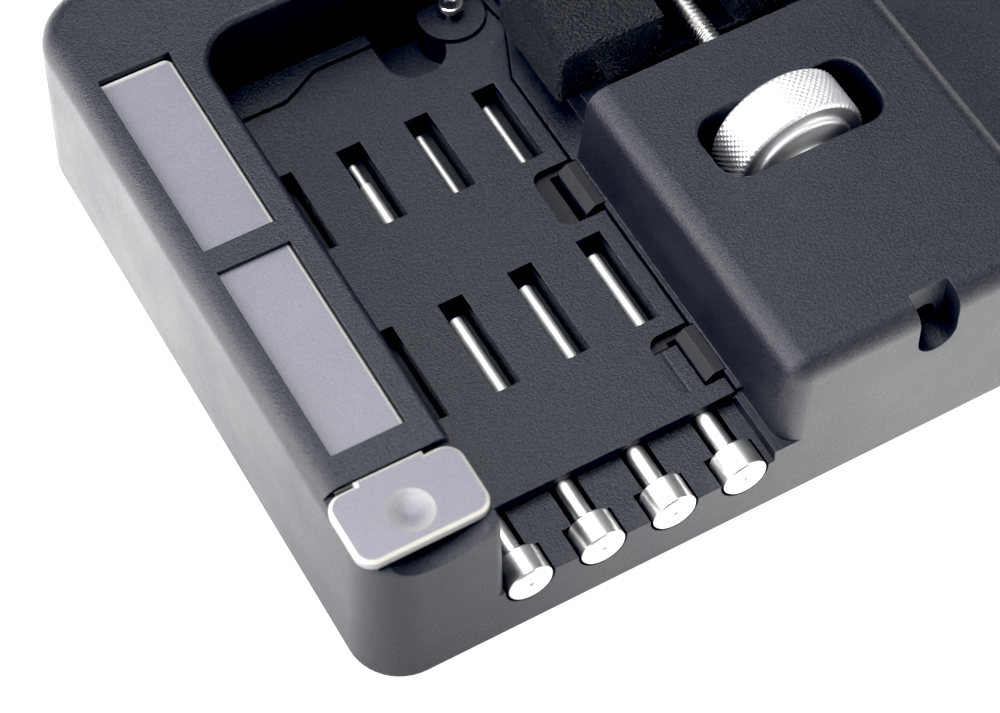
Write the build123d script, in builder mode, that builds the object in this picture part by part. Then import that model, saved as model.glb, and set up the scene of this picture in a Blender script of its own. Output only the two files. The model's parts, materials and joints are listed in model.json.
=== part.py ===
from build123d import *
import math
import os

os.makedirs("parts", exist_ok=True)

# A bench vice for driving out small pins, with stored punches, spare pins and a part box.
# Millimetres, +Z up. The origin is the centre of the footprint, on the table.
# Places are given from the left face and the front face, and turned into the frame by
# across() and along().

# Driving dimensions
body_width = 162.0
body_depth = 128.0
foot_proud = 0.5
wall_draft = 2.0
front_corner = 9.0
back_corner = 12.5
deck_top = foot_proud + 21.2
body_top = foot_proud + 33.0
storage_pitch = 13.0
running_gap = 0.05
free_gap = 0.3

# Outside edges
edge_radius = 3.7
housing_draft = 3.5
column_edge_radius = 1.5

# Tool bay
bay_left = 23.2
bay_right = 73.3
bay_right_back = 78.0
bay_flare_start = 86.0
bay_flare_end = 97.0
bay_back = 106.3
back_bar_right = 73.2
bay_corner = 8.7
bay_rim_radius = 1.2
bay_floor = 6.0

# Slotted plate over the pin rack
plate_top = foot_proud + 14.6
plate_thickness = 1.6
plate_bottom = plate_top - plate_thickness
ledge_top = plate_top + 0.6
seat_floor = plate_bottom - running_gap
plate_front = 13.05
plate_left = 23.45
plate_right = 72.3
plate_flare_x = 77.0
plate_steps = (99.8, 103.6)
plate_step_x = (36.4, 43.9)
plate_step_radius = 3.5
rack_x = (23.6, 71.3)
slot_width = 4.6
slot_first = 28.15
slot_rows = ((69.4, 86.7), (31.5, 50.95))
pin_floor = foot_proud + 9.3
latch_rows = (60.25, 22.25)
latch_length = 12.2
latch_corner = 2.4
clip_x = (69.6, 73.1)
clip_leg_right = 71.2
clip_half_length = 4.9
clip_gap = 0.2
clip_proud = 0.6
post_x = 70.2
post_y = 103.4
post_stem_radius = 1.1
post_disc_radius = 2.25
post_disc = (foot_proud + 17.3, foot_proud + 18.3)
boss_radius = 6.0
finger_x = 60.6
finger_front = 94.0
finger_width = 11.5
finger_floor = 8.5
seat_gap = 0.4

thick_pin_radius = 1.1
thin_pin_radius = 0.62
# Each spare pin: name, place in its row, row, thick length, thin length
spare_pins = (
    ("stepped_pin_1", 0, 0, 10.2, 5.0),
    ("stepped_pin_2", 1, 0, 10.2, 5.0),
    ("thin_pin_1", 2, 0, 0.0, 15.5),
    ("thin_pin_2", 3, 0, 0.0, 15.5),
    ("straight_pin_1", 0, 1, 17.0, 0.0),
    ("straight_pin_2", 1, 1, 17.0, 0.0),
    ("straight_pin_3", 2, 1, 17.0, 0.0),
    ("straight_pin_4", 3, 1, 17.0, 0.0),
)

# Punch bits stored across the front
bit_first = 27.6
bit_height = foot_proud + 11.1
bit_head_radius = 3.9
bit_head_length = 5.2
bit_shank_radius = 1.75
bit_length = 24.0
cradle_top = foot_proud + 11.6
cradle_back = 26.0
channel_radius = 2.5
channel_back = 14.5
lip_inset = 1.2

# Part box in the left strip, with its frosted slide cover
window_x = (5.8, 18.7)
window_rows = ((23.4, 62.0), (66.6, 105.65))
pocket_right = 17.2
pocket_floor = 4.0
cover_x = (3.6, 18.55)
cover_bottom = foot_proud + 30.6
cover_top = foot_proud + 32.0
cover_back = 105.5
cover_corner = 1.5
cover_gap = 0.1
tab_x = (0.85, 23.45)
tab_y = (3.7, 17.0)
tab_top = foot_proud + 33.2
tab_thickness = 1.8
tab_corner = 3.0
tab_seat_floor = foot_proud + 31.3
tab_slot_back = 18.1
tongue_x = (6.5, 18.2)
dimple_x = 11.8
dimple_y = 9.2
dimple_radius = 3.8
dimple_depth = 0.9
scoop_x = 12.5
scoop_radius = 14.3
scoop_depth = 2.8
scoop_back = 6.5

# Vice
vice_x = 101.5
vice_half_width = 27.4
housing_back = 64.3
screw_height = foot_proud + 25.4
screw_radius = 1.9
wheel_radius = 12.2
wheel_y = (40.8, 49.9)
wheel_hub_y = (39.2, 50.5)
wheel_hub_radius = 9.3
wheel_boss_y = (38.4, 50.7)
wheel_boss_radius = 5.2
washer_radius = 5.6
chamber_x = (85.4, 116.4)
chamber_y = (37.4, 51.3)
chamber_corner = 4.6
chamber_floor = 12.0
chamber_rim_radius = 0.5
bush_front = 29.0
bush_seat_radius = 4.0
notch_radius = 3.7
notch_depth = 5.5
jaw_front = 73.0
jaw_back = 93.0
jaw_face_thickness = 3.0
jaw_bottom = deck_top + running_gap
jaw_slot_back = 80.0
jaw_slot_half_width = 7.5
jaw_edge_radius = 2.5
face_half_width = 25.5
face_screw_offset = 14.0
face_screw_height = foot_proud + 27.0
screw_front = 9.5
journal_radius = 1.6
journal_end = 87.5
cross_pin_y = 83.8
cross_pin_radius = 0.75
cross_pin_top = 31.0
socket_depth = 4.0
exit_radius = 2.2
fixed_face_front = 108.0
fixed_jaw_back = 121.4
guide_half_width = 17.0
guide_y = (75.0, 91.0)
guide_bottom = 6.0
guide_screw_x = (vice_x - 5.0, vice_x + 5.0)
guide_screw_y = 83.0
guide_slot_y = (67.5, 103.0)
guide_screw_top = 27.0
rod_offset = 12.5
rod_radius = 2.0
rod_height = 11.0
rod_y = (61.2, 113.8)
bush_radius = 3.2
fixed_screw_radius = 2.0
fixed_head_radius = 4.0
fixed_head_top = 12.0
fixed_screw_top = 29.0

# Bottom cover
base_thickness = 2.0
base_inset = 3.0
base_top = foot_proud + base_thickness
screw_shank = 1.5
screw_head = 2.8
screw_length = 5.0
screw_head_top = foot_proud + 1.1
socket_radius = 0.9
# Hollows open to the base: under the jaws, the housing's front, the right side and the back bar
hollows = (
    ((79.0, 124.0), (67.0, 108.0), deck_top - 4.0),
    ((79.0, 124.0), (9.0, 28.5), body_top - 11.0),
    ((133.0, 156.0), (7.0, 106.0), deck_top - 3.0),
    ((42.0, 69.0), (110.0, 123.0), body_top - 3.0),
)
base_screw_places = ((34.0, 9.0), (128.5, 9.0), (34.0, 117.0), (134.0, 117.0))
foot_radius = 7.0
foot_recess = 0.8
foot_places = ((16.0, 16.0), (146.0, 16.0), (18.0, 110.0), (144.0, 110.0))
fixed_screw_x = (80.5, 122.5)
fixed_screw_y = 116.5
latch_depth = 7.6


def across(distance):
    """A distance from the left face, as X in the frame."""
    return distance - body_width / 2


def along(distance):
    """A distance from the front face, as Y in the frame."""
    return distance - body_depth / 2


def block(x_range, y_range, z_range, mode=Mode.ADD):
    """A box between two limits on each axis, measured from the left and front faces."""
    sizes = [high - low for low, high in (x_range, y_range, z_range)]
    middle = [(low + high) / 2 for low, high in (x_range, y_range, z_range)]
    with Locations((across(middle[0]), along(middle[1]), middle[2])):
        Box(*sizes, mode=mode)


def bar(x, z, y_range, radius, mode=Mode.ADD):
    """A round bar along Y."""
    middle = along((y_range[0] + y_range[1]) / 2)
    with Locations(Location((across(x), middle, z), (90, 0, 0))):
        Cylinder(radius, y_range[1] - y_range[0], mode=mode)


def upright(x, y, z_range, radius, mode=Mode.ADD):
    """A round bar along Z."""
    with Locations((across(x), along(y), (z_range[0] + z_range[1]) / 2)):
        Cylinder(radius, z_range[1] - z_range[0], mode=mode)


def storage_x(index, first):
    """The place across of one of the four stored pins or bits of a row."""
    return first + index * storage_pitch


def footprint(inset):
    """The body's outline on the table, moved in from the walls."""
    with BuildSketch() as outline:
        Rectangle(body_width - 2 * inset, body_depth - 2 * inset)
        fillet(outline.vertices().group_by(Axis.Y)[0], front_corner - inset)
        fillet(outline.vertices().group_by(Axis.Y)[-1], back_corner - inset)
    return outline.sketch


def plate_blank(gap):
    """The slotted plate's outline before its openings, moved out by a gap."""
    with BuildSketch() as outline:
        with BuildLine():
            Polyline(
                (across(plate_left - gap / 2), along(plate_front - gap)),
                (across(plate_right + gap), along(plate_front - gap)),
                (across(plate_right + gap), along(bay_flare_start)),
                (across(plate_flare_x + gap), along(bay_flare_end)),
                (across(plate_flare_x - 1 + gap), along(plate_steps[1] + gap)),
                (across(plate_step_x[1]), along(plate_steps[1] + gap)),
                (across(plate_step_x[0]), along(plate_steps[0] + gap)),
                (across(plate_left - gap / 2), along(plate_steps[0] + gap)),
                close=True,
            )
        make_face()
        step_corners = outline.vertices().filter_by_position(
            Axis.X, across(plate_step_x[0] - 0.1), across(plate_step_x[1] + 0.1))
        fillet(step_corners, plate_step_radius)
    return outline.sketch


def outer_block(top, top_edge_radius):
    """The drafted outside of the body up to one height, with its top edge rounded."""
    with BuildPart() as solid:
        with BuildSketch(Plane.XY.offset(foot_proud)):
            add(footprint(0))
        extrude(amount=body_top - foot_proud, taper=wall_draft)
        if top < body_top:
            split(bisect_by=Plane.XY.offset(top), keep=Keep.BOTTOM)
        if top_edge_radius:
            fillet(solid.faces().sort_by(Axis.Z)[-1].edges(), top_edge_radius)
    return solid.part


deck_block = outer_block(deck_top, edge_radius)
tall_block = outer_block(body_top, edge_radius)
sharp_block = outer_block(body_top, 0)

# The tall left strip and back bar, which stand round the tool bay
with BuildPart() as tall_surround:
    block((-1, 40), (-1, body_depth + 1), (0, body_top + 1))
    block((-1, back_bar_right), (100, body_depth + 1), (0, body_top + 1))
    add(tall_block, mode=Mode.INTERSECT)

# The raised housing over the thumbwheel
with BuildPart() as housing:
    wall_spread = (body_top - foot_proud) * math.tan(math.radians(housing_draft))
    housing_half = vice_half_width + 1.5
    with BuildSketch(Plane.XY.offset(foot_proud)):
        with Locations((across(vice_x), along((housing_back + wall_spread) / 2 - 5))):
            Rectangle(2 * housing_half, housing_back + wall_spread + 10)
    extrude(amount=body_top - foot_proud, taper=housing_draft)
    add(sharp_block, mode=Mode.INTERSECT)
    front_face = housing.faces().sort_by(Axis.Y)[0]
    sides = front_face.edges().sort_by(Axis.X)
    fillet([sides[0], sides[-1]], edge_radius)
    top_face = housing.faces().sort_by(Axis.Z)[-1]
    fillet(top_face.edges().sort_by(Axis.Y)[:-1], edge_radius)

with BuildPart() as body_shell:
    add(deck_block)
    add(tall_surround.part)

    # Tool bay, above the ledge
    with BuildSketch(Plane.XY.offset(ledge_top)):
        with BuildLine():
            Polyline(
                (across(bay_left), along(-2)),
                (across(bay_right + 5), along(-2)),
                (across(bay_right + 5), along(bay_flare_start)),
                (across(bay_right_back), along(bay_flare_end)),
                (across(bay_right_back), along(bay_back)),
                (across(bay_left), along(bay_back)),
                close=True,
            )
        bay_outline = make_face()
        back_corners = bay_outline.vertices().group_by(Axis.Y)[-1]
        fillet(back_corners.sort_by(Axis.X)[0], bay_corner)
    extrude(amount=body_top, mode=Mode.SUBTRACT)

    # Lowered seat of the slide cover's thumb tab
    slide_floor = cover_bottom - cover_gap
    slide_roof = cover_top + cover_gap
    block((-1, bay_left + 1), (-1, tab_slot_back), (tab_seat_floor, body_top + 1), Mode.SUBTRACT)

    # Open front of the bay: pads between the punch bits, stepped channels for the bits
    block((bay_left, bay_right - lip_inset), (-2, plate_front), (cradle_top, body_top), Mode.SUBTRACT)
    block((bay_left, bay_right + 5), (-2, plate_front), (plate_top - 0.5, body_top), Mode.SUBTRACT)
    column_edges = body_shell.edges().filter_by(Axis.Z, tolerance=5)
    column_edges = column_edges.filter_by_position(Axis.X, across(bay_left - 0.1), across(bay_left + 0.1))
    column_edges = column_edges.filter_by_position(Axis.Y, along(-0.1), along(3.0))
    fillet(column_edges.group_by(Axis.Z)[-1], column_edge_radius)
    rim = body_shell.edges().filter_by_position(Axis.Z, body_top - 0.01, body_top + 0.01)
    rim = rim.filter_by_position(Axis.X, across(bay_left - 0.1), across(back_bar_right - 0.1))
    fillet(rim.filter_by_position(Axis.Y, along(tab_slot_back), along(bay_back + 0.1)), bay_rim_radius)

    # Seat of the slotted plate, and the pockets below it
    with BuildSketch(Plane.XY.offset(seat_floor)):
        add(plate_blank(seat_gap))
    extrude(amount=ledge_top, mode=Mode.SUBTRACT)
    block((rack_x[0] - 0.2, rack_x[1] + 0.2), (cradle_back + 0.2, 92.0), (bay_floor, plate_top), Mode.SUBTRACT)
    for y in latch_rows:
        clip_y = (y - clip_half_length - clip_gap, y + clip_half_length + clip_gap)
        clip_left = clip_x[0] - clip_gap
        block((clip_left, clip_leg_right + clip_gap), clip_y, (bay_floor + 0.5, plate_top), Mode.SUBTRACT)
        block((clip_left, clip_x[1] + 0.1), clip_y, (seat_floor, ledge_top + 1), Mode.SUBTRACT)
    finger_x_range = (finger_x - finger_width / 2, finger_x + finger_width / 2)
    block(finger_x_range, (91.0, bay_back), (finger_floor, ledge_top), Mode.SUBTRACT)
    upright(post_x, post_y, (bay_floor, ledge_top), boss_radius)
    upright(post_x, post_y, (ledge_top - 5, ledge_top + 1), post_stem_radius + 0.02, Mode.SUBTRACT)

    for index in range(4):
        x = storage_x(index, bit_first)
        head_gap = bit_head_radius + 0.5
        head_end = bit_head_length + 0.6
        bar(x, bit_height, (-2, head_end), head_gap, Mode.SUBTRACT)
        block((x - head_gap, x + head_gap), (-2, head_end), (bit_height, cradle_top + 3), Mode.SUBTRACT)
        bar(x, bit_height, (0, channel_back), channel_radius, Mode.SUBTRACT)
        block((x - channel_radius, x + channel_radius), (0, channel_back), (bit_height, cradle_top + 1),
              Mode.SUBTRACT)
        bar(x, bit_height, (channel_back - 1, cradle_back + 1), bit_shank_radius + running_gap, Mode.SUBTRACT)

    # Raised housing, joined once the bay is open so that its left wall stands whole
    add(housing.part)

    # Part box: two pockets with a ledge for the cover's right edge, and the windows over them
    for low, high in window_rows:
        block((window_x[0], pocket_right), (low, high), (pocket_floor, body_top), Mode.SUBTRACT)
        block(window_x, (low, high), (slide_floor, body_top + 1), Mode.SUBTRACT)

    # Slot of the slide cover, and the scoop for a fingertip in front of its thumb tab
    block((cover_x[0] - 0.2, window_x[1]), (-1, window_rows[1][1]), (slide_floor, slide_roof), Mode.SUBTRACT)
    bar(scoop_x, tab_seat_floor + scoop_radius - scoop_depth, (-1, scoop_back), scoop_radius, Mode.SUBTRACT)

    # Wheel chamber, screw bores and the notch that the screw's front end reaches
    with BuildSketch(Plane.XY.offset(chamber_floor)):
        with Locations((across(sum(chamber_x) / 2), along(sum(chamber_y) / 2))):
            RectangleRounded(chamber_x[1] - chamber_x[0], chamber_y[1] - chamber_y[0], chamber_corner)
    extrude(amount=body_top, mode=Mode.SUBTRACT)
    chamber_rim = body_shell.edges().filter_by_position(Axis.Z, body_top - 0.01, body_top + 0.01)
    chamber_rim = chamber_rim.filter_by_position(Axis.X, across(chamber_x[0] - 0.1), across(chamber_x[1] + 0.1))
    chamber_rim = chamber_rim.filter_by_position(Axis.Y, along(chamber_y[0] - 0.1), along(chamber_y[1] + 0.1))
    fillet(chamber_rim, chamber_rim_radius)
    bar(vice_x, screw_height, (bush_front, housing_back + 4), bush_seat_radius, Mode.SUBTRACT)
    bar(vice_x, screw_height, (5, bush_front + 1), screw_radius + 0.5, Mode.SUBTRACT)
    bar(vice_x, screw_height, (-2, notch_depth), notch_radius, Mode.SUBTRACT)
    block((vice_x - notch_radius, vice_x + notch_radius), (-2, notch_depth), (screw_height, body_top + 1),
          Mode.SUBTRACT)

    # Slot for the jaw's guide block, and the hollows under the vice, the right side and the back bar
    block((vice_x - guide_half_width - 0.5, vice_x + guide_half_width + 0.5), guide_slot_y,
          (base_top, deck_top + 1), Mode.SUBTRACT)
    for x_range, y_range, hollow_top in hollows:
        block(x_range, y_range, (base_top, hollow_top), Mode.SUBTRACT)
    for side in (-1, 1):
        bar(vice_x + side * rod_offset, rod_height, (rod_y[0] - 0.2, rod_y[1] + 0.2), rod_radius + 0.02,
            Mode.SUBTRACT)

    # Recess for the base plate, and the holes for its screws and the fixed jaw's screws
    with BuildSketch(Plane.XY.offset(foot_proud - 1)):
        add(footprint(base_inset))
    extrude(amount=base_top + 1 - foot_proud, mode=Mode.SUBTRACT)
    for x, y in base_screw_places:
        upright(x, y, (base_top - 1, base_top + screw_length), screw_shank + running_gap, Mode.SUBTRACT)
    for x in fixed_screw_x:
        upright(x, fixed_screw_y, (base_top - 1, fixed_head_top), fixed_head_radius + 0.2, Mode.SUBTRACT)
        upright(x, fixed_screw_y, (fixed_head_top - 1, deck_top + 1), fixed_screw_radius + 0.2, Mode.SUBTRACT)
body_shell.part.label = "body_shell"
export_step(body_shell.part, "parts/body_shell.step")

# Bottom cover: plate, screws and feet
with BuildPart() as base_plate:
    with BuildSketch(Plane.XY.offset(foot_proud)):
        add(footprint(base_inset + free_gap))
    extrude(amount=base_thickness - running_gap)
    for x, y in base_screw_places:
        upright(x, y, (0, base_top + 1), screw_shank + 0.2, Mode.SUBTRACT)
        upright(x, y, (0, screw_head_top), screw_head + 0.2, Mode.SUBTRACT)
    for x, y in foot_places:
        upright(x, y, (0, foot_proud + foot_recess), foot_radius, Mode.SUBTRACT)
base_plate.part.label = "base_plate"
export_step(base_plate.part, "parts/base_plate.step")

with BuildPart() as base_screws:
    for x, y in base_screw_places:
        upright(x, y, (foot_proud + 0.15, screw_head_top), screw_head)
        upright(x, y, (screw_head_top, base_top + screw_length - 0.5), screw_shank)
        upright(x, y, (foot_proud, screw_head_top - 0.35), socket_radius, Mode.SUBTRACT)
base_screws.part.label = "base_screws"
export_step(base_screws.part, "parts/base_screws.step")

with BuildPart() as rubber_feet:
    for x, y in foot_places:
        upright(x, y, (0, foot_proud + foot_recess), foot_radius - running_gap)
    fillet(rubber_feet.faces().group_by(Axis.Z)[0].edges(), 0.4)
rubber_feet.part.label = "rubber_feet"
export_step(rubber_feet.part, "parts/rubber_feet.step")

# Rack with the grooves that hold the spare pins
with BuildPart() as pin_rack:
    block(rack_x, (cradle_back + 0.4, 91.8), (bay_floor, plate_bottom - free_gap / 2))
    for row in slot_rows:
        for index in range(4):
            x = storage_x(index, slot_first)
            block((x - slot_width / 2, x + slot_width / 2), row, (pin_floor, plate_top), Mode.SUBTRACT)
    block((finger_x_range[0] - 0.2, finger_x_range[1] + 0.2), (90.0, 92.0), (finger_floor, plate_top),
          Mode.SUBTRACT)
    for y in latch_rows:
        clip_y = (y - clip_half_length - clip_gap, y + clip_half_length + clip_gap)
        block((clip_x[0] - 1.4, rack_x[1] + 0.1), clip_y, (bay_floor + 0.5, plate_top), Mode.SUBTRACT)
pin_rack.part.label = "pin_rack"
export_step(pin_rack.part, "parts/pin_rack.step")

# Slotted plate, with two finger pads on its right edge and a finger notch at the back
with BuildPart() as pin_plate:
    with BuildSketch(Plane.XY.offset(plate_bottom)):
        add(plate_blank(0))
        with Locations((across(post_x), along(post_y))):
            Circle(boss_radius + seat_gap, mode=Mode.SUBTRACT)
        with Locations((across(finger_x), along(finger_front + finger_width))):
            RectangleRounded(finger_width, 2 * finger_width, finger_width * 0.45, mode=Mode.SUBTRACT)
        for row in slot_rows:
            for index in range(4):
                with Locations((across(storage_x(index, slot_first)), along(sum(row) / 2))):
                    Rectangle(slot_width, row[1] - row[0], mode=Mode.SUBTRACT)
        for y in latch_rows:
            with Locations((across(plate_right), along(y))):
                RectangleRounded(2 * latch_depth, latch_length, latch_corner, mode=Mode.SUBTRACT)
    extrude(amount=plate_thickness)
pin_plate.part.label = "pin_plate"
export_step(pin_plate.part, "parts/pin_plate.step")

# Spring clips beside the plate, one at each finger pad
with BuildPart() as spring_clips:
    for y in latch_rows:
        clip_y = (y - clip_half_length, y + clip_half_length)
        block(clip_x, clip_y, (plate_bottom, plate_top + clip_proud))
        block((clip_x[0], clip_leg_right), clip_y, (bay_floor + 1, plate_bottom))
    ramps = spring_clips.edges().filter_by(Axis.Y).group_by(Axis.Z)[-1].group_by(Axis.X)[0]
    chamfer(ramps, 1.4, 1.6)
spring_clips.part.label = "spring_clips"
export_step(spring_clips.part, "parts/spring_clips.step")

# Chromed post on the ledge
with BuildPart() as retaining_post:
    upright(post_x, post_y, (ledge_top - 4.8, post_disc[1]), post_stem_radius)
    upright(post_x, post_y, post_disc, post_disc_radius)
    fillet(retaining_post.faces().sort_by(Axis.Z)[-1].edges(), 0.3)
    upright(post_x, post_y, (post_disc[1] - 0.5, post_disc[1] + 1), 1.1, Mode.SUBTRACT)
retaining_post.part.label = "retaining_post"
export_step(retaining_post.part, "parts/retaining_post.step")


def spare_pin(x, y_front, thick_length, thin_length):
    """A loose pin lying on the floor of its groove: a thick part, then a thin one."""
    radius = thick_pin_radius if thick_length else thin_pin_radius
    height = pin_floor + radius + 0.02
    with BuildPart() as pin:
        if thick_length:
            bar(x, height, (y_front, y_front + thick_length), thick_pin_radius)
        if thin_length:
            start = y_front + thick_length
            bar(x, height, (start, start + thin_length), thin_pin_radius)
        chamfer(pin.faces().sort_by(Axis.Y)[0].edges(), 0.2)
        fillet(pin.faces().sort_by(Axis.Y)[-1].edges(), 0.4)
    return pin.part


for name, index, row, thick_length, thin_length in spare_pins:
    pin = spare_pin(storage_x(index, slot_first), slot_rows[row][0] + 0.9, thick_length, thin_length)
    pin.label = name
    export_step(pin, f"parts/{name}.step")

# Headed punch bits
for index in range(4):
    x = storage_x(index, bit_first)
    with BuildPart() as bit:
        bar(x, bit_height, (0, bit_head_length), bit_head_radius)
        chamfer(bit.edges(), 0.3)
        bar(x, bit_height, (bit_head_length - 1, bit_length), bit_shank_radius)
        chamfer(bit.faces().sort_by(Axis.Y)[-1].edges(), 0.3)
        bar(x, bit_height, (-1, 0.3), 0.45, Mode.SUBTRACT)
    bit.part.label = f"punch_bit_{index + 1}"
    export_step(bit.part, f"parts/punch_bit_{index + 1}.step")

# Frosted slide cover of the part box, with its thumb tab and the tongue that carries the tab
with BuildPart() as slide_cover:
    with BuildSketch(Plane.XY.offset(cover_bottom)) as cover_outline:
        with Locations((across(sum(cover_x) / 2), along((tab_slot_back + cover_back) / 2))):
            Rectangle(cover_x[1] - cover_x[0], cover_back - tab_slot_back)
        fillet(cover_outline.vertices().group_by(Axis.Y)[-1], cover_corner)
    extrude(amount=cover_top - cover_bottom)
    chamfer(slide_cover.faces().sort_by(Axis.Z)[-1].edges(), 0.4)
    block(tongue_x, (scoop_back + 0.2, tab_slot_back + 1), (cover_bottom, cover_top))
    with BuildSketch(Plane.XY.offset(tab_top - tab_thickness)):
        with Locations((across(sum(tab_x) / 2), along(sum(tab_y) / 2))):
            RectangleRounded(tab_x[1] - tab_x[0], tab_y[1] - tab_y[0], tab_corner)
        with Locations((across(sum(tongue_x) / 2), along(tab_slot_back - 1.3))):
            Rectangle(tongue_x[1] - tongue_x[0], 2)
    extrude(amount=tab_thickness)
    chamfer(slide_cover.faces().sort_by(Axis.Z)[-1].edges(), 0.5)
    sphere_radius = (dimple_radius**2 + dimple_depth**2) / (2 * dimple_depth)
    with Locations((across(dimple_x), along(dimple_y), tab_top + sphere_radius - dimple_depth)):
        Sphere(sphere_radius, mode=Mode.SUBTRACT)
slide_cover.part.label = "slide_cover"
export_step(slide_cover.part, "parts/slide_cover.step")

# Thumbwheel: the rotating nut of the vice, between two thrust washers
with BuildPart() as thumbwheel:
    bar(vice_x, screw_height, wheel_y, wheel_radius)
    chamfer(thumbwheel.edges(), 0.7)
    bar(vice_x, screw_height, wheel_hub_y, wheel_hub_radius)
    chamfer(thumbwheel.faces().filter_by(Axis.Y).sort_by(Axis.Y)[0].edges(), 0.4)
    bar(vice_x, screw_height, wheel_boss_y, wheel_boss_radius)
    bar(vice_x, screw_height, chamber_y, screw_radius + running_gap, Mode.SUBTRACT)
thumbwheel.part.label = "thumbwheel"
export_step(thumbwheel.part, "parts/thumbwheel.step")

with BuildPart() as thrust_washers:
    bar(vice_x, screw_height, (chamber_y[0] + running_gap, wheel_boss_y[0] - running_gap), washer_radius)
    bar(vice_x, screw_height, (wheel_boss_y[1] + running_gap, chamber_y[1] - running_gap), washer_radius)
    bar(vice_x, screw_height, chamber_y, screw_radius + 0.3, Mode.SUBTRACT)
thrust_washers.part.label = "thrust_washers"
export_step(thrust_washers.part, "parts/thrust_washers.step")

with BuildPart() as screw_bushes:
    bar(vice_x, screw_height, (bush_front + 0.1, chamber_y[0] - 0.1), bush_seat_radius - 0.02)
    bar(vice_x, screw_height, (chamber_y[1] + 0.1, housing_back - 0.2), bush_seat_radius - 0.02)
    bar(vice_x, screw_height, (bush_front, housing_back), screw_radius + running_gap, Mode.SUBTRACT)
screw_bushes.part.label = "screw_bushes"
export_step(screw_bushes.part, "parts/screw_bushes.step")

# Lead screw, pinned into the moving jaw; it slides and doesn't turn
with BuildPart() as lead_screw:
    bar(vice_x, screw_height, (screw_front, jaw_slot_back), screw_radius)
    chamfer(lead_screw.edges(), 0.4)
    bar(vice_x, screw_height, (jaw_slot_back - 1, journal_end), journal_radius)
    upright(vice_x, cross_pin_y, (0, body_top), cross_pin_radius + 0.01, Mode.SUBTRACT)
lead_screw.part.label = "lead_screw"
export_step(lead_screw.part, "parts/lead_screw.step")

with BuildPart() as screw_pin:
    upright(vice_x, cross_pin_y, (jaw_bottom + 0.3, cross_pin_top), cross_pin_radius)
screw_pin.part.label = "screw_pin"
export_step(screw_pin.part, "parts/screw_pin.step")


def round_jaw_edges(jaw, outer_face_y):
    """Rounds the long top edges of a jaw block, and breaks the edge over its outer face."""
    top_edges = jaw.faces().sort_by(Axis.Z)[-1].edges()
    fillet(top_edges.filter_by(Axis.Y).sort_by(Axis.X)[0], jaw_edge_radius)
    top_edges = jaw.faces().sort_by(Axis.Z)[-1].edges()
    fillet(top_edges.filter_by(Axis.Y).sort_by(Axis.X)[-1], jaw_edge_radius)
    top_edges = jaw.faces().sort_by(Axis.Z)[-1].edges().filter_by(Axis.X)
    outer = top_edges.sort_by(lambda edge: abs(edge.center().Y - along(outer_face_y)))
    chamfer(outer[0], 0.6)


vice_span = (vice_x - vice_half_width, vice_x + vice_half_width)

with BuildPart() as moving_jaw:
    block(vice_span, (jaw_front, jaw_back), (jaw_bottom, body_top))
    round_jaw_edges(moving_jaw, jaw_front)
    block((vice_x - jaw_slot_half_width, vice_x + jaw_slot_half_width), (jaw_front - 1, jaw_slot_back),
          (jaw_bottom + 1, body_top + 1), Mode.SUBTRACT)
    bar(vice_x, screw_height, (jaw_slot_back - 1, journal_end + 0.1), journal_radius + 0.02, Mode.SUBTRACT)
    bar(vice_x, screw_height, (jaw_back - socket_depth, jaw_back + 1), bit_shank_radius + running_gap,
        Mode.SUBTRACT)
    upright(vice_x, cross_pin_y, (deck_top, body_top + 1), cross_pin_radius + 0.01, Mode.SUBTRACT)
    for side in (-1, 1):
        bar(vice_x + side * face_screw_offset, face_screw_height, (jaw_back - 8, jaw_back + 1),
            screw_shank + 0.02, Mode.SUBTRACT)
    for x in guide_screw_x:
        upright(x, guide_screw_y, (deck_top, guide_screw_top + 0.3), screw_shank + 0.02, Mode.SUBTRACT)
moving_jaw.part.label = "moving_jaw"
export_step(moving_jaw.part, "parts/moving_jaw.step")

# Guide block under the moving jaw, screwed to it through the slot in the deck
with BuildPart() as guide_block:
    block((vice_x - guide_half_width, vice_x + guide_half_width), guide_y, (guide_bottom, jaw_bottom - 0.01))
    for side in (-1, 1):
        bar(vice_x + side * rod_offset, rod_height, guide_y, bush_radius + 0.02, Mode.SUBTRACT)
    for x in guide_screw_x:
        upright(x, guide_screw_y, (guide_bottom, jaw_bottom + 1), screw_shank + 0.2, Mode.SUBTRACT)
        upright(x, guide_screw_y, (guide_bottom - 1, guide_bottom + 3), screw_head + 0.2, Mode.SUBTRACT)
guide_block.part.label = "guide_block"
export_step(guide_block.part, "parts/guide_block.step")

with BuildPart() as guide_block_screws:
    for x in guide_screw_x:
        upright(x, guide_screw_y, (guide_bottom + 1, guide_bottom + 2.98), screw_head)
        upright(x, guide_screw_y, (guide_bottom + 2.9, guide_screw_top), screw_shank)
        upright(x, guide_screw_y, (guide_bottom, guide_bottom + 2), 1.2, Mode.SUBTRACT)
guide_block_screws.part.label = "guide_block_screws"
export_step(guide_block_screws.part, "parts/guide_block_screws.step")

with BuildPart() as fixed_jaw:
    block(vice_span, (fixed_face_front + jaw_face_thickness, fixed_jaw_back), (deck_top, body_top))
    round_jaw_edges(fixed_jaw, fixed_jaw_back)
    bar(vice_x, screw_height, (fixed_face_front, fixed_jaw_back + 1), exit_radius, Mode.SUBTRACT)
    for side in (-1, 1):
        bar(vice_x + side * face_screw_offset, face_screw_height,
            (fixed_face_front, fixed_face_front + jaw_face_thickness + 6), screw_shank + 0.02, Mode.SUBTRACT)
    for x in fixed_screw_x:
        upright(x, fixed_screw_y, (deck_top - 1, fixed_screw_top + 1), fixed_screw_radius + 0.02, Mode.SUBTRACT)
fixed_jaw.part.label = "fixed_jaw"
export_step(fixed_jaw.part, "parts/fixed_jaw.step")


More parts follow.
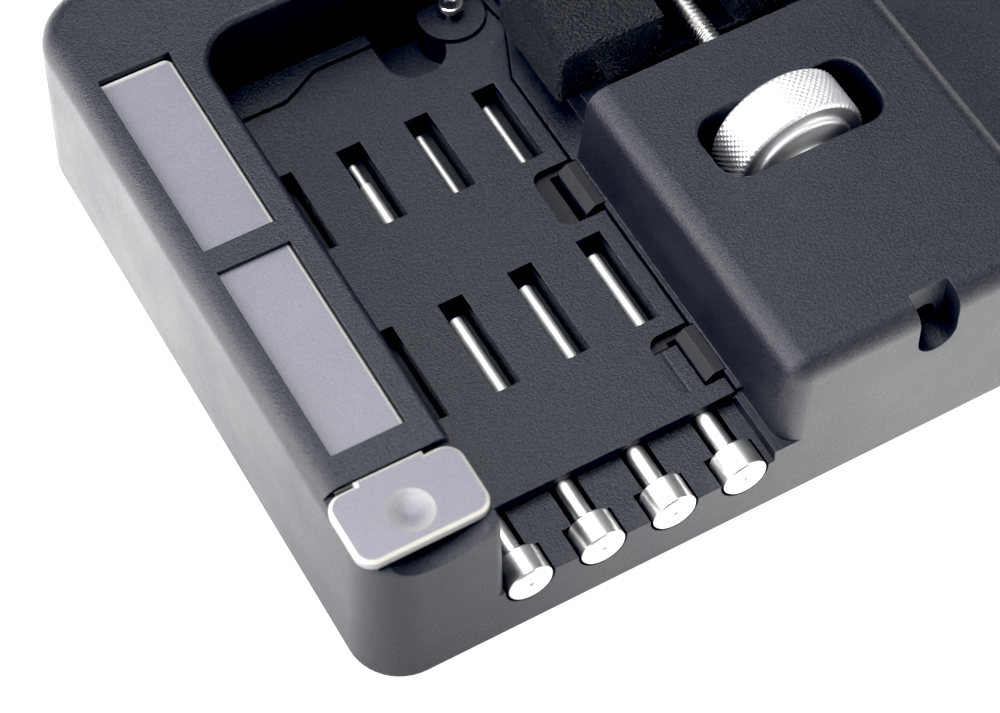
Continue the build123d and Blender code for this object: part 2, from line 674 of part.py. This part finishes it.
def jaw_face(y_range, working_y, hole_radius):
    """A steel jaw face with two countersunk holes and one in the middle."""
    outward = 1 if working_y == y_range[1] else -1
    with BuildPart() as face:
        span = (vice_x - face_half_width, vice_x + face_half_width)
        block(span, y_range, (deck_top + 0.6, body_top - 0.3))
        for side in (-1, 1):
            x = vice_x + side * face_screw_offset
            head = sorted((working_y - outward * 1.7, working_y + outward))
            bar(x, face_screw_height, (y_range[0] - 1, y_range[1] + 1), screw_shank + 0.2, Mode.SUBTRACT)
            bar(x, face_screw_height, head, screw_head + 0.1, Mode.SUBTRACT)
        bar(vice_x, screw_height, (y_range[0] - 1, y_range[1] + 1), hole_radius, Mode.SUBTRACT)
    return face.part


def face_screws(working_y, outward):
    """Two cheese-head screws, sunk below the working face."""
    with BuildPart() as screws:
        for side in (-1, 1):
            x = vice_x + side * face_screw_offset
            under_head = working_y - outward * 1.65
            head_top = working_y - outward * 0.25
            tip = working_y - outward * (jaw_face_thickness + 5.5)
            bar(x, face_screw_height, sorted((under_head, head_top)), screw_head)
            bar(x, face_screw_height, sorted((tip, under_head)), screw_shank)
            socket = sorted((head_top - outward * 0.8, head_top + outward))
            bar(x, face_screw_height, socket, 1.1, Mode.SUBTRACT)
    return screws.part


moving_face_front = jaw_back + 0.02
moving_face_back = jaw_back + jaw_face_thickness
bit_socket_radius = bit_shank_radius + running_gap
moving_face = jaw_face((moving_face_front, moving_face_back), moving_face_back, bit_socket_radius)
moving_face.label = "moving_face"
export_step(moving_face, "parts/moving_face.step")

fixed_face_back = fixed_face_front + jaw_face_thickness - 0.02
fixed_face = jaw_face((fixed_face_front, fixed_face_back), fixed_face_front, exit_radius)
fixed_face.label = "fixed_face"
export_step(fixed_face, "parts/fixed_face.step")

moving_face_screws = face_screws(moving_face_back, 1)
moving_face_screws.label = "moving_face_screws"
export_step(moving_face_screws, "parts/moving_face_screws.step")

fixed_face_screws = face_screws(fixed_face_front, -1)
fixed_face_screws.label = "fixed_face_screws"
export_step(fixed_face_screws, "parts/fixed_face_screws.step")

with BuildPart() as fixed_jaw_screws:
    for x in fixed_screw_x:
        upright(x, fixed_screw_y, (fixed_head_top - 4, fixed_head_top - running_gap), fixed_head_radius)
        upright(x, fixed_screw_y, (fixed_head_top - running_gap, fixed_screw_top), fixed_screw_radius)
        upright(x, fixed_screw_y, (fixed_head_top - 5, fixed_head_top - 2), 1.6, Mode.SUBTRACT)
fixed_jaw_screws.part.label = "fixed_jaw_screws"
export_step(fixed_jaw_screws.part, "parts/fixed_jaw_screws.step")

# Guide rods of the moving jaw, and its bushes on them
with BuildPart() as guide_rods:
    for side in (-1, 1):
        bar(vice_x + side * rod_offset, rod_height, rod_y, rod_radius)
    chamfer(guide_rods.edges(), 0.3)
guide_rods.part.label = "guide_rods"
export_step(guide_rods.part, "parts/guide_rods.step")

with BuildPart() as rod_bushes:
    for side in (-1, 1):
        x = vice_x + side * rod_offset
        bar(x, rod_height, guide_y, bush_radius)
        bar(x, rod_height, (jaw_front, jaw_back), rod_radius + running_gap, Mode.SUBTRACT)
rod_bushes.part.label = "rod_bushes"
export_step(rod_bushes.part, "parts/rod_bushes.step")
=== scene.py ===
import json
import math

import bpy
from mathutils import Matrix, Vector


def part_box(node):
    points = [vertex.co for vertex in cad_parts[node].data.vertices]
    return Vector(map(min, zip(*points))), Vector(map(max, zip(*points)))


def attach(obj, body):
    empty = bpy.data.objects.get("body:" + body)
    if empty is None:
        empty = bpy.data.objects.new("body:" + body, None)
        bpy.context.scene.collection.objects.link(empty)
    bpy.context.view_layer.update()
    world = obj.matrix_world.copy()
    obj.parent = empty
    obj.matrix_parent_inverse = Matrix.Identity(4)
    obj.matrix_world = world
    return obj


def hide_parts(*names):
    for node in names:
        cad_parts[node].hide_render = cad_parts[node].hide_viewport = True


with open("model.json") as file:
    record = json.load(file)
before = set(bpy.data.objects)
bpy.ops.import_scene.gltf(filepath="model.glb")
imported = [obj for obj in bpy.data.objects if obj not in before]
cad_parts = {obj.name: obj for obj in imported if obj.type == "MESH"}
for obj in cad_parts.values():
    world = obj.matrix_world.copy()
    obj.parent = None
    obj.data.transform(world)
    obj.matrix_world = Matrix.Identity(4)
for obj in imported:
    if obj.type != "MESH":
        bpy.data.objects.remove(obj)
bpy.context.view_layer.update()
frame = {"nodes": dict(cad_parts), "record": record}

MM = 0.001


# Shader nodes

def node(tree, kind, inputs=None, **settings):
    """Adds a shader node. An input is a value, or the output socket of another node."""
    made = tree.nodes.new("ShaderNode" + kind)
    for key, value in settings.items():
        setattr(made, key, value)
    for key, value in (inputs or {}).items():
        if isinstance(value, bpy.types.NodeSocket):
            tree.links.new(value, made.inputs[key])
        else:
            made.inputs[key].default_value = value
    return made


def calc(tree, operation, *values):
    """The result of a maths node."""
    return node(tree, "Math", dict(enumerate(values)), operation=operation).outputs[0]


def spread(tree, value, low, high, new_low=0.0, new_high=1.0):
    """The value moved from one range to another, and held inside it."""
    return node(tree, "MapRange", {0: value, 1: low, 2: high, 3: new_low, 4: new_high}).outputs[0]


def blend_colours(tree, share, first, second):
    """A mix of two colours: a share of 0 gives the first, and 1 the second."""
    share_socket, first_socket, second_socket, mixed_socket = 0, 6, 7, 2
    made = tree.nodes.new("ShaderNodeMix")
    made.data_type = "RGBA"
    for socket, value in ((share_socket, share), (first_socket, first), (second_socket, second)):
        if isinstance(value, bpy.types.NodeSocket):
            tree.links.new(value, made.inputs[socket])
        elif socket == share_socket:
            made.inputs[socket].default_value = value
        else:
            made.inputs[socket].default_value = (*value, 1.0)
    return made.outputs[mixed_socket]


def noise(tree, place, size, detail=2.0, rough=0.5):
    """Noise between 0 and 1 with grains of about the given size, in metres."""
    made = node(tree, "TexNoise", {"Vector": place, "Scale": 1 / size, "Detail": detail, "Roughness": rough})
    return made.outputs["Fac"]


def evened(tree, grain, new_low=0.0, new_high=1.0):
    """Noise over the whole of a new range. As it comes, most of it lies between 0.3 and 0.7."""
    return spread(tree, grain, 0.3, 0.7, new_low, new_high)


def tinted(colour, factor):
    """A colour made lighter or darker."""
    return [channel * factor for channel in colour]


def start(name):
    """A new material with its node tree, principled shader and object coordinates."""
    made = bpy.data.materials.new(name)
    made.use_nodes = True
    tree = made.node_tree
    shader = tree.nodes["Principled BSDF"]
    place = tree.nodes.new("ShaderNodeTexCoord").outputs["Object"]
    return made, tree, shader, place


def edges(tree, radius):
    """Softened normals near edges, and a mask that is high on the edges."""
    flat, sharp = 0.995, 0.80
    soft = node(tree, "Bevel", {"Radius": radius}, samples=4).outputs[0]
    plain = tree.nodes.new("ShaderNodeNewGeometry").outputs["Normal"]
    turn = node(tree, "VectorMath", {0: soft, 1: plain}, operation="DOT_PRODUCT").outputs["Value"]
    return soft, spread(tree, turn, flat, sharp)


def relief_of(tree, height, depth, soft):
    """A bump of the given depth in metres, on top of the softened normals."""
    return node(tree, "Bump", {"Height": height, "Distance": depth, "Strength": 1.0, "Normal": soft})


def wire(tree, shader, tone, sheen, bump):
    """Joins the colour, the roughness and the bump to the shader."""
    tree.links.new(tone, shader.inputs["Base Color"])
    tree.links.new(sheen, shader.inputs["Roughness"])
    tree.links.new(bump.outputs[0], shader.inputs["Normal"])


# Materials

def moulded_plastic(name, colour, roughness, grain, depth, wear_and_highlight=(0.10, 0.10, 0.11), lump=0.0):
    """Black moulded plastic: a fine spark grain, slow changes of sheen, rubbed edges in a paler colour, which
    on the plate also paints a highlight line, and a little dust.
    Grain and lump are the sizes of a fine and a coarse relief; a lump of 0 leaves the coarse one out."""
    edge_radius = 0.25 * MM
    cloud_size = 14 * MM
    lump_weight = 1.6
    scuff_size = 1.6 * MM
    scuff_strength = 0.7
    dust_spacing = 3.2 * MM
    dust_core, dust_rim = 0.02, 0.035
    dust_rarity = 0.90
    dust_strength = 0.6
    dust_colour = (0.35, 0.35, 0.36)
    cloud_tint = 0.15
    cloud_sheen = 0.05
    grain_sheen = 0.09

    made, tree, shader, place = start(name)
    soft, edge = edges(tree, edge_radius)
    fine = noise(tree, place, grain, 3.0, 0.65)
    cloud = noise(tree, place, cloud_size, 3.0, 0.6)
    height = fine
    if lump:
        coarse = noise(tree, place, lump, 2.0, 0.6)
        height = calc(tree, "ADD", fine, calc(tree, "MULTIPLY", coarse, lump_weight))
    bump = relief_of(tree, height, depth, soft)

    # Edge mask for the paler rubbed edges; on the plate these also paint a highlight line.
    scuff_and_highlight = calc(tree, "MULTIPLY", edge, spread(tree, noise(tree, place, scuff_size, 3.0), 0.42, 0.62))
    specks = node(tree, "TexVoronoi", {"Vector": place, "Scale": 1 / dust_spacing}, feature="F1")
    chance = node(tree, "TexWhiteNoise", {"Vector": specks.outputs["Position"]}, noise_dimensions="3D")
    speck = spread(tree, specks.outputs["Distance"], dust_rim, dust_core)
    chosen = spread(tree, chance.outputs["Value"], dust_rarity, dust_rarity + 0.01)
    dust = calc(tree, "MULTIPLY", speck, chosen)

    darker, paler = tinted(colour, 1 - cloud_tint), tinted(colour, 1 + cloud_tint)
    tone = blend_colours(tree, evened(tree, cloud), darker, paler)
    # Rubbed edges in the paler colour; on the plate this paler edge is also a painted highlight line.
    tone = blend_colours(tree, calc(tree, "MULTIPLY", scuff_and_highlight, scuff_strength), tone, wear_and_highlight)
    tone = blend_colours(tree, calc(tree, "MULTIPLY", dust, dust_strength), tone, dust_colour)
    slow = spread(tree, cloud, 0.25, 0.75, roughness - cloud_sheen, roughness + cloud_sheen)
    sheen = calc(tree, "ADD", slow, evened(tree, fine, -grain_sheen, grain_sheen))
    wire(tree, shader, tone, sheen, bump)
    tree.links.new(evened(tree, fine, 0.32, 0.68), shader.inputs["Specular IOR Level"])
    shader.inputs["IOR"].default_value = 1.5
    return made


def turned_metal(name, colour, roughness, stretch, line, depth):
    """Metal with fine tool lines. A large number in stretch sets the lines close together on that axis."""
    edge_radius = 0.12 * MM
    cloud_size = 5 * MM
    cloud_tint = 0.12
    edge_colour = (0.9, 0.9, 0.9)
    edge_strength = 0.25
    smudge = 0.08
    line_sheen = 0.06

    made, tree, shader, place = start(name)
    soft, edge = edges(tree, edge_radius)
    squeezed = node(tree, "VectorMath", {0: place, 1: stretch}, operation="MULTIPLY").outputs[0]
    lines = noise(tree, squeezed, line, 4.0, 0.7)
    cloud = noise(tree, place, cloud_size, 3.0, 0.6)
    bump = relief_of(tree, lines, depth, soft)
    tone = blend_colours(tree, evened(tree, cloud), tinted(colour, 1 - cloud_tint), colour)
    tone = blend_colours(tree, calc(tree, "MULTIPLY", edge, edge_strength), tone, edge_colour)
    slow = evened(tree, cloud, roughness, roughness + smudge)
    sheen = calc(tree, "ADD", slow, calc(tree, "MULTIPLY", lines, line_sheen))
    wire(tree, shader, tone, sheen, bump)
    shader.inputs["Metallic"].default_value = 1.0
    return made


def frosted_plastic(name, colour, rim):
    """Frosted clear plastic for the slide cover: an even haze, a fine etched skin, and painted highlights in
    a pale colour on the tab's bevel faces and edges, in its dimple, and along the right and back borders of
    the pane."""
    edge_radius = 0.45 * MM
    edge_strength = 0.85
    dimple_highlight_strength = 0.3
    skin_size = 0.30 * MM
    skin_depth = 0.03 * MM
    cloud_size = 20 * MM
    border_highlight_strength = 0.9
    border_width = 0.6 * MM
    border_fade = 0.15 * MM
    back_border_width = 1.2 * MM
    back_border_fade = 0.8 * MM
    cover_low, cover_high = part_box("slide_cover")
    tab_back = cover_low[1] + 15.3 * MM
    pane_right = cover_high[0] - 4.9 * MM
    pane_back = cover_high[1]

    made, tree, shader, place = start(name)
    soft, edge = edges(tree, edge_radius)
    normal = tree.nodes.new("ShaderNodeNewGeometry").outputs["True Normal"]
    upward = node(tree, "SeparateXYZ", {"Vector": normal}).outputs["Z"]
    # Painted highlights: the tab's steep bevel faces, the gentle slopes of its dimple and all edges get the
    # pale rim colour.
    bevel_highlight = calc(tree, "MULTIPLY", spread(tree, upward, 0.86, 0.80), spread(tree, upward, 0.40, 0.50))
    dimple = spread(tree, upward, 0.99, 0.93, 0.0, dimple_highlight_strength)
    painted_highlight = calc(tree, "MAXIMUM", calc(tree, "MULTIPLY", edge, edge_strength), bevel_highlight)

    at = node(tree, "SeparateXYZ", {"Vector": place}).outputs
    # Painted highlight lines along the pane's right border behind the tab and along its back border.
    behind_tab = spread(tree, at["Y"], tab_back, tab_back + 1 * MM)
    right_start = pane_right - border_width
    right_border = spread(tree, at["X"], right_start, right_start + border_fade)
    back_start = pane_back - back_border_width
    back_border = spread(tree, at["Y"], back_start, back_start + back_border_fade)
    border_highlight = calc(tree, "MAXIMUM", calc(tree, "MULTIPLY", right_border, behind_tab), back_border)

    fine = noise(tree, place, skin_size, 2.0, 0.6)
    cloud = noise(tree, place, cloud_size)
    bump = relief_of(tree, fine, skin_depth, soft)
    tone = blend_colours(tree, evened(tree, cloud), tinted(colour, 0.90), colour)
    # The pale rim colour is painted highlight: a faint sparkle over the fine skin, then the dimple, the edges
    # and bevel faces, and the pane's borders.
    tone = blend_colours(tree, evened(tree, fine, 0.0, 0.10), tone, rim)
    tone = blend_colours(tree, dimple, tone, rim)
    tone = blend_colours(tree, painted_highlight, tone, rim)
    tone = blend_colours(tree, calc(tree, "MULTIPLY", border_highlight, border_highlight_strength), tone, rim)
    sheen = calc(tree, "ADD", 0.26, calc(tree, "MULTIPLY", fine, 0.12))
    wire(tree, shader, tone, sheen, bump)
    shader.inputs["IOR"].default_value = 1.49
    shader.inputs["Transmission Weight"].default_value = 0.25
    shader.inputs["Subsurface Weight"].default_value = 0.15
    shader.inputs["Subsurface Radius"].default_value = (1.5 * MM, 1.4 * MM, 1.6 * MM)
    return made


def soft_rubber(name):
    """Dull black rubber with a fine skin."""
    skin_size = 0.3 * MM
    skin_depth = 0.03 * MM
    cloud_size = 6 * MM
    dark, pale = (0.015, 0.015, 0.015), (0.03, 0.029, 0.028)

    made, tree, shader, place = start(name)
    fine = noise(tree, place, skin_size, 3.0, 0.7)
    cloud = noise(tree, place, cloud_size, 3.0, 0.6)
    bump = node(tree, "Bump", {"Height": fine, "Distance": skin_depth, "Strength": 1.0})
    wire(tree, shader, blend_colours(tree, cloud, dark, pale), evened(tree, cloud, 0.7, 0.85), bump)
    return made


body_black = (0.0098, 0.0104, 0.0150)
insert_black = (0.006, 0.006, 0.007)
jaw_black = (0.012, 0.013, 0.015)
powder_black = (0.014, 0.014, 0.015)
haze = (0.210, 0.205, 0.242)
# Pale colour of the slide cover's painted highlights.
highlight_warm_white = (0.72, 0.70, 0.62)

finishes = {
    "black_housing": moulded_plastic(
        "moulded_black", body_black, roughness=0.42, grain=0.40 * MM, depth=0.13 * MM),
    # The plate's paler rubbed-edge colour also paints the highlight line along its edges.
    "black_plate": moulded_plastic(
        "plate_black", body_black, roughness=0.44, grain=0.38 * MM, depth=0.11 * MM, wear_and_highlight=(0.17, 0.17, 0.18)),
    "black_insert": moulded_plastic(
        "insert_black", insert_black, roughness=0.62, grain=0.25 * MM, depth=0.02 * MM),
    "jaw_black": moulded_plastic(
        "jaw_rough_black", jaw_black, roughness=0.36, grain=0.45 * MM, depth=1.1 * MM,
        wear_and_highlight=(0.20, 0.20, 0.21), lump=0.6 * MM),
    "steel_cover": moulded_plastic(
        "powder_coat", powder_black, roughness=0.5, grain=0.4 * MM, depth=0.04 * MM),
    "frosted_plastic": frosted_plastic("frosted", haze, rim=highlight_warm_white),
    "rubber": soft_rubber("foot_rubber"),
    "chrome": turned_metal(
        "polished_chrome", (0.86, 0.86, 0.86), roughness=0.06,
        stretch=(1, 1, 3), line=0.4 * MM, depth=0.0005 * MM),
    "knurled_chrome": turned_metal(
        "wheel_chrome", (1.0, 1.0, 1.0), roughness=0.42,
        stretch=(1, 6, 1), line=0.5 * MM, depth=0.002 * MM),
    "bit_chrome": turned_metal(
        "bit_steel", (0.92, 0.91, 0.88), roughness=0.27,
        stretch=(1, 8, 1), line=1.2 * MM, depth=0.0015 * MM),
    "pin_steel": turned_metal(
        "pin_steel", (0.97, 0.96, 0.93), roughness=0.52,
        stretch=(6, 0.5, 6), line=0.8 * MM, depth=0.002 * MM),
    "screw_steel": turned_metal(
        "screw_steel", (0.62, 0.61, 0.58), roughness=0.22,
        stretch=(1, 1, 1), line=0.5 * MM, depth=0.004 * MM),
    "rod_steel": turned_metal(
        "rod_steel", (0.70, 0.70, 0.69), roughness=0.16,
        stretch=(1, 5, 1), line=0.9 * MM, depth=0.002 * MM),
    "face_steel": turned_metal(
        "face_steel", (0.52, 0.52, 0.52), roughness=0.28,
        stretch=(6, 1, 1), line=1.2 * MM, depth=0.006 * MM),
    # The bronze is dark as oiled sintered bronze, and darker still as painted shade for the bush's shadowed
    # centre.
    "bronze": turned_metal(
        "bush_bronze", (0.16, 0.115, 0.07), roughness=0.34,
        stretch=(1, 4, 1), line=0.8 * MM, depth=0.004 * MM),
}

slot_of = {part["node"]: part["material_slot"] for part in frame["record"]["subparts"]}
for name, piece in frame["nodes"].items():
    for material_slot in piece.material_slots:
        material_slot.material = finishes[slot_of[name]]


# Pieces built here, because their surface is finer than the solid model's

def mesh_piece(name, points, faces, body, slot_name, stands_for):
    """A new mesh that rides on a body and replaces a solid node."""
    mesh = bpy.data.meshes.new(name)
    mesh.from_pydata(points, [], faces)
    mesh.update()
    mesh.shade_smooth()
    piece = bpy.data.objects.new(name, mesh)
    bpy.context.scene.collection.objects.link(piece)
    piece.data.materials.append(finishes[slot_name])
    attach(piece, body)
    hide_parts(stands_for)


def turned_points(centre, rings, count, relief):
    """The points of a shape turned about Y. A ring is (y, radius, relief depth), and the relief gives the
    height between 0 and 1 at a place and an angle."""
    points = []
    for y, radius, depth in rings:
        for step in range(count):
            angle = 2 * math.pi * step / count
            size = radius - depth * (1 - relief(y, angle)) if depth else radius
            points.append((centre[0] + size * math.cos(angle), y, centre[1] + size * math.sin(angle)))
    return points


def turned_faces(ring_count, count, hollow):
    """The faces between the rings. A hollow shape has its last ring joined to its first, and a solid one
    has flat ends."""
    faces = []
    for index in range(ring_count if hollow else ring_count - 1):
        low = index * count
        high = (index + 1) % ring_count * count
        for step in range(count):
            after = (step + 1) % count
            faces.append((low + step, high + step, high + after, low + after))
    if not hollow:
        last = (ring_count - 1) * count
        faces.append(tuple(range(count)))
        faces.append(tuple(reversed(range(last, last + count))))
    return faces


def zigzag(value):
    """Rises from 0 to 1 and falls back to 0 while the value grows by 1."""
    return 1 - abs(2 * (value % 1.0) - 1)


def steps_between(low, high, count):
    """Evenly spaced values, both ends included."""
    return [low + (high - low) * index / count for index in range(count + 1)]


def shaft_centre(low, high):
    """The X and Z of the middle of a box, which is where a shaft along Y runs."""
    return (low[0] + high[0]) / 2, (low[2] + high[2]) / 2


def thumbwheel():
    """The wheel with its diamond knurl, its raised hub on both faces and its boss."""
    low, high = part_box("thumbwheel")
    rim = min(high[0] - low[0], high[2] - low[2]) / 2
    front, back = low[1], high[1]
    face_front = front + 2.4 * MM
    face_back = back - 0.8 * MM
    hub_front = front + 0.8 * MM
    hub_back = back - 0.2 * MM
    boss, hub, bore = 5.2 * MM, 9.3 * MM, 1.95 * MM
    bevel, soft = 0.7 * MM, 0.15 * MM
    teeth, points_per_tooth, knurl_rings, bore_rings = 64, 8, 56, 4
    knurl_depth = 0.26 * MM
    steepness = 1.35
    tooth = 2 * math.pi * rim / teeth

    def knurl(y, angle):
        turn = teeth * angle / (2 * math.pi)
        climb = (y - face_front) / tooth
        return min(1.0, steepness * min(zigzag(turn + climb), zigzag(turn - climb)))

    rings = [(front, bore, 0), (front, boss - soft, 0), (front + soft, boss, 0), (hub_front, boss, 0)]
    rings += [(hub_front, boss + 2 * soft, 0), (hub_front + soft, boss + 3 * soft, 0)]
    rings += [(hub_front + 3 * soft, hub - 4 * soft, 0), (hub_front + 4 * soft, hub - 2 * soft, 0)]
    rings += [(hub_front + 6 * soft, hub, 0), (face_front - 0.2 * soft, hub, 0), (face_front, hub + soft, 0)]
    rings += [(face_front, rim - bevel - soft, 0), (face_front + 0.3 * soft, rim - bevel, 0)]
    for y in steps_between(face_front + bevel, face_back - bevel, knurl_rings):
        rings.append((y, rim, knurl_depth))
    rings += [(face_back - 0.3 * soft, rim - bevel, 0), (face_back, rim - bevel - soft, 0)]
    rings += [(face_back, hub + soft, 0), (face_back + soft, hub, 0), (hub_back - soft, hub, 0)]
    rings += [(hub_back, hub - soft, 0), (hub_back, boss, 0), (back, boss - soft, 0), (back, bore, 0)]
    rings += [(y, bore, 0) for y in steps_between(back - soft, front + soft, bore_rings)]

    around = teeth * points_per_tooth
    points = turned_points(shaft_centre(low, high), rings, around, knurl)
    faces = turned_faces(len(rings), around, hollow=True)
    mesh_piece("thumbwheel_knurled", points, faces, "wheel", "knurled_chrome", "thumbwheel")


def threaded_screw():
    """The lead screw with its right-hand thread and its plain journal in the jaw."""
    low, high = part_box("lead_screw")
    crest = (high[0] - low[0]) / 2
    front, back = low[1], high[1]
    journal_start = back - 7.5 * MM
    journal, pitch, tip = 1.6 * MM, 1.0 * MM, 0.4 * MM
    around, thread_rings = 36, 690
    thread_depth = 0.48 * MM
    steepness = 1.6

    def thread(y, angle):
        return min(1.0, steepness * zigzag(y / pitch + angle / (2 * math.pi)))

    rings = [(front, crest - 1.6 * tip, 0), (front + 0.3 * tip, crest - 1.3 * tip, 0)]
    for y in steps_between(front + tip, journal_start - tip, thread_rings):
        rings.append((y, crest, thread_depth))
    rings += [(journal_start, journal, 0), (back - tip, journal, 0), (back, journal - tip, 0)]

    points = turned_points(shaft_centre(low, high), rings, around, thread)
    faces = turned_faces(len(rings), around, hollow=False)
    mesh_piece("lead_screw_threaded", points, faces, "jaw", "screw_steel", "lead_screw")


thumbwheel()
threaded_screw()


# Camera

def add_camera():
    """The camera looks down on the front left of the part, rolled a little, with the focus on the part."""
    azimuth = math.radians(29.62)
    elevation = math.radians(56.59)
    roll = math.radians(0.33)
    aim = Vector((-0.0334, -0.0184, 0.0005))
    distance_to_aim = 0.5071
    sharpest_before_aim = 0.017

    sight = Vector((
        math.sin(azimuth) * math.cos(elevation),
        math.cos(azimuth) * math.cos(elevation),
        -math.sin(elevation),
    ))
    level_side = Vector((math.cos(azimuth), -math.sin(azimuth), 0))
    level_top = level_side.cross(sight)
    side = level_side * math.cos(roll) + level_top * math.sin(roll)
    top = level_top * math.cos(roll) - level_side * math.sin(roll)

    camera = bpy.data.objects.new("camera", bpy.data.cameras.new("camera"))
    bpy.context.scene.collection.objects.link(camera)
    camera.matrix_world = Matrix((
        (side.x, top.x, -sight.x, 0),
        (side.y, top.y, -sight.y, 0),
        (side.z, top.z, -sight.z, 0),
        (0, 0, 0, 1),
    ))
    camera.location = aim - sight * distance_to_aim
    camera.data.lens = 109.5
    camera.data.sensor_width = 36

    focus_point = bpy.data.objects.new("focus_point", None)
    bpy.context.scene.collection.objects.link(focus_point)
    focus_point.location = aim - sight * sharpest_before_aim
    camera.data.dof.use_dof = True
    camera.data.dof.focus_object = focus_point
    camera.data.dof.aperture_fstop = 22
    bpy.context.scene.camera = camera


add_camera()


# Light

def panel(name, place, towards, width, height, power, colour):
    """A soft rectangular light. Sizes are in metres and the power is in watts."""
    light = bpy.data.lights.new(name, "AREA")
    light.shape = "RECTANGLE"
    light.size = width
    light.size_y = height
    light.energy = power
    light.color = colour
    holder = bpy.data.objects.new(name, light)
    bpy.context.scene.collection.objects.link(holder)
    holder.location = place
    holder.rotation_mode = "QUATERNION"
    holder.rotation_quaternion = (Vector(towards) - Vector(place)).to_track_quat("-Z", "Y")


panel("overhead", place=(-0.12, 0.12, 0.95), towards=(0, 0, 0),
      width=0.80, height=0.60, power=11.5, colour=(0.95, 0.97, 1.0))
panel("left", place=(-0.60, 0.14, 0.30), towards=(-0.02, 0.01, 0.02),
      width=0.60, height=0.60, power=9, colour=(0.98, 0.95, 1.0))
panel("front", place=(0.34, -0.36, 0.22), towards=(0.02, 0, 0.02),
      width=0.30, height=0.25, power=0.75, colour=(1.0, 0.98, 0.99))

world = bpy.data.worlds.new("world")
bpy.context.scene.world = world
world.use_nodes = True
background = world.node_tree.nodes["Background"]
background.inputs["Color"].default_value = (0.90, 0.94, 1.0, 1.0)
background.inputs["Strength"].default_value = 0.26


# Floor

def glowing_floor(name):
    """A white floor. To the camera it glows evenly; the light it gives the part grows with the distance
    from the part's front left corner, where the walls are darkest."""
    dull, pale = (0.25, 0.25, 0.25), (0.28, 0.28, 0.28)
    cloud_size = 0.3
    dark_corner = (-0.085, -0.08, 0)
    near, far = 0.01, 0.10
    near_glow, far_glow, seen_glow = 0.6, 3.0, 1.0

    made, tree, shader, place = start(name)
    tone = blend_colours(tree, noise(tree, place, cloud_size), dull, pale)
    tree.links.new(tone, shader.inputs["Base Color"])
    shader.inputs["Roughness"].default_value = 0.9
    shader.inputs["Specular IOR Level"].default_value = 0.1
    shader.inputs["Emission Color"].default_value = (1, 1, 1, 1)
    away = node(tree, "VectorMath", {0: place, 1: dark_corner}, operation="DISTANCE").outputs["Value"]
    glow = spread(tree, away, near, far, near_glow, far_glow)
    seen = tree.nodes.new("ShaderNodeLightPath").outputs["Is Camera Ray"]
    strength = calc(tree, "MULTIPLY_ADD", seen, calc(tree, "SUBTRACT", seen_glow, glow), glow)
    tree.links.new(strength, shader.inputs["Emission Strength"])
    return made


def add_floor():
    """A square floor under the part."""
    reach = 3.0
    corners = [(-reach, -reach, 0), (reach, -reach, 0), (reach, reach, 0), (-reach, reach, 0)]
    mesh = bpy.data.meshes.new("floor")
    mesh.from_pydata(corners, [], [(0, 1, 2, 3)])
    floor = bpy.data.objects.new("floor", mesh)
    bpy.context.scene.collection.objects.link(floor)
    floor.data.materials.append(glowing_floor("floor_white"))


add_floor()


# Tone: the darkest blacks are clipped, as in a product photograph
view = bpy.context.scene.view_settings
view.view_transform = "Standard"
view.use_curve_mapping = True
view.curve_mapping.black_level = (0.0160, 0.0140, 0.0105)
view.curve_mapping.update()
